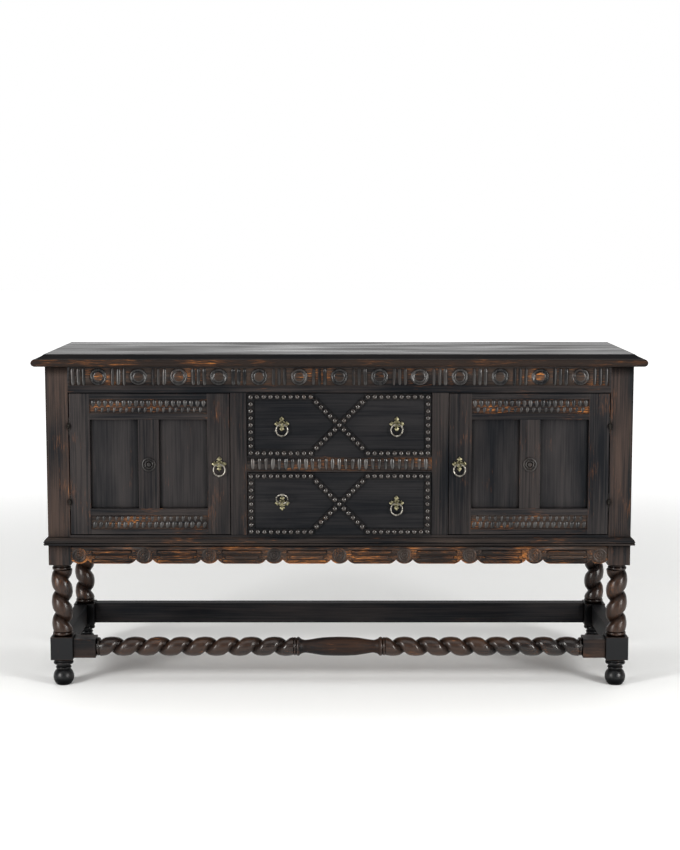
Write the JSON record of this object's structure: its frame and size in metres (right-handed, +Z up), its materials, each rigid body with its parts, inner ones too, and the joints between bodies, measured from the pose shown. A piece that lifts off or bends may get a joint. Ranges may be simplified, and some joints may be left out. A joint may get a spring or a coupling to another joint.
{
  "type": "buffet sideboard",
  "caption": "Ebonised oak buffet with panelled doors, beaded drawers and brass ring pulls, on barley-twist legs joined by a turned twist stretcher and plain rails.",
  "frame": {"origin": "on the floor, below the middle of the bounding box", "axes": "+X right seen from the front, +Y to the back, +Z up"},
  "size_m": [1.83, 0.56, 1.016],
  "materials": {
    "ebonised_oak": "satin, near black, rubbed to brown on the carving",
    "inner_wood": "oiled, dark brown",
    "antique_brass": "aged, satin",
    "steel": "brushed"
  },
  "bodies": {
    "case": {"top_board": "ebonised_oak", "front_left_post": "ebonised_oak", "front_right_post": "ebonised_oak", "rear_left_post": "ebonised_oak", "rear_right_post": "ebonised_oak", "frieze_rail": "ebonised_oak", "base_rail": "ebonised_oak", "left_mullion": "ebonised_oak", "right_mullion": "ebonised_oak", "drawer_rail": "ebonised_oak", "side_rails": "ebonised_oak", "side_panels": "ebonised_oak", "back_panel": "inner_wood", "back_rails": "ebonised_oak", "case_bottom": "inner_wood", "partitions": "inner_wood", "shelves": "inner_wood", "shelf_pins": "steel", "drawer_runners": "inner_wood", "waist_moulding": "ebonised_oak", "front_apron": "ebonised_oak", "side_aprons": "ebonised_oak", "rear_apron": "ebonised_oak", "front_stretcher": "ebonised_oak", "rear_stretcher": "ebonised_oak", "side_stretchers": "ebonised_oak", "hinge_case_leaves": "antique_brass", "hinge_pins": "antique_brass", "door_catches": "steel"},
    "left_door": {"left_door_stiles": "ebonised_oak", "left_door_rails": "ebonised_oak", "left_door_muntin": "ebonised_oak", "left_door_panels": "ebonised_oak", "left_door_hinge_leaves": "antique_brass", "left_door_strike": "steel", "left_door_pull_plate": "antique_brass"},
    "right_door": {"right_door_stiles": "ebonised_oak", "right_door_rails": "ebonised_oak", "right_door_muntin": "ebonised_oak", "right_door_panels": "ebonised_oak", "right_door_hinge_leaves": "antique_brass", "right_door_strike": "steel", "right_door_pull_plate": "antique_brass"},
    "upper_drawer": {"upper_drawer_front": "ebonised_oak", "upper_drawer_beading": "ebonised_oak", "upper_drawer_walls": "inner_wood", "upper_drawer_bottom": "inner_wood", "upper_drawer_pull_plates": "antique_brass"},
    "lower_drawer": {"lower_drawer_front": "ebonised_oak", "lower_drawer_beading": "ebonised_oak", "lower_drawer_walls": "inner_wood", "lower_drawer_bottom": "inner_wood", "lower_drawer_pull_plates": "antique_brass"},
    "left_door_ring": {"left_door_pull_ring": "antique_brass"},
    "right_door_ring": {"right_door_pull_ring": "antique_brass"},
    "upper_drawer_left_ring": {"upper_drawer_left_ring": "antique_brass"},
    "upper_drawer_right_ring": {"upper_drawer_right_ring": "antique_brass"},
    "lower_drawer_left_ring": {"lower_drawer_left_ring": "antique_brass"},
    "lower_drawer_right_ring": {"lower_drawer_right_ring": "antique_brass"}
  },
  "joints": [
    {"name": "left_door_swing", "type": "hinge", "parent": "case", "child": "left_door", "pos_m": [-0.8105, -0.2483, 0.6845], "axis": [0, 0, -1], "range_deg": [0, 170]},
    {"name": "right_door_swing", "type": "hinge", "parent": "case", "child": "right_door", "pos_m": [0.8105, -0.2483, 0.6845], "axis": [0, 0, 1], "range_deg": [0, 170]},
    {"name": "upper_drawer_slide", "type": "slide", "parent": "case", "child": "upper_drawer", "axis": [0, -1, 0], "range_m": [0, 0.3]},
    {"name": "lower_drawer_slide", "type": "slide", "parent": "case", "child": "lower_drawer", "axis": [0, -1, 0], "range_m": [0, 0.3]},
    {"name": "left_door_ring_swing", "type": "hinge", "parent": "left_door", "child": "left_door_ring", "pos_m": [-0.3605, -0.254, 0.6855], "axis": [-1, 0, 0], "range_deg": [-6, 186]},
    {"name": "right_door_ring_swing", "type": "hinge", "parent": "right_door", "child": "right_door_ring", "pos_m": [0.3605, -0.254, 0.6855], "axis": [-1, 0, 0], "range_deg": [-6, 186]},
    {"name": "upper_drawer_left_ring_swing", "type": "hinge", "parent": "upper_drawer", "child": "upper_drawer_left_ring", "pos_m": [-0.172, -0.254, 0.8064], "axis": [-1, 0, 0], "range_deg": [-6, 186]},
    {"name": "upper_drawer_right_ring_swing", "type": "hinge", "parent": "upper_drawer", "child": "upper_drawer_right_ring", "pos_m": [0.172, -0.254, 0.8064], "axis": [-1, 0, 0], "range_deg": [-6, 186]},
    {"name": "lower_drawer_left_ring_swing", "type": "hinge", "parent": "lower_drawer", "child": "lower_drawer_left_ring", "pos_m": [-0.172, -0.254, 0.5669], "axis": [-1, 0, 0], "range_deg": [-153, 39]},
    {"name": "lower_drawer_right_ring_swing", "type": "hinge", "parent": "lower_drawer", "child": "lower_drawer_right_ring", "pos_m": [0.172, -0.254, 0.5669], "axis": [-1, 0, 0], "range_deg": [-6, 186]}
  ]
}
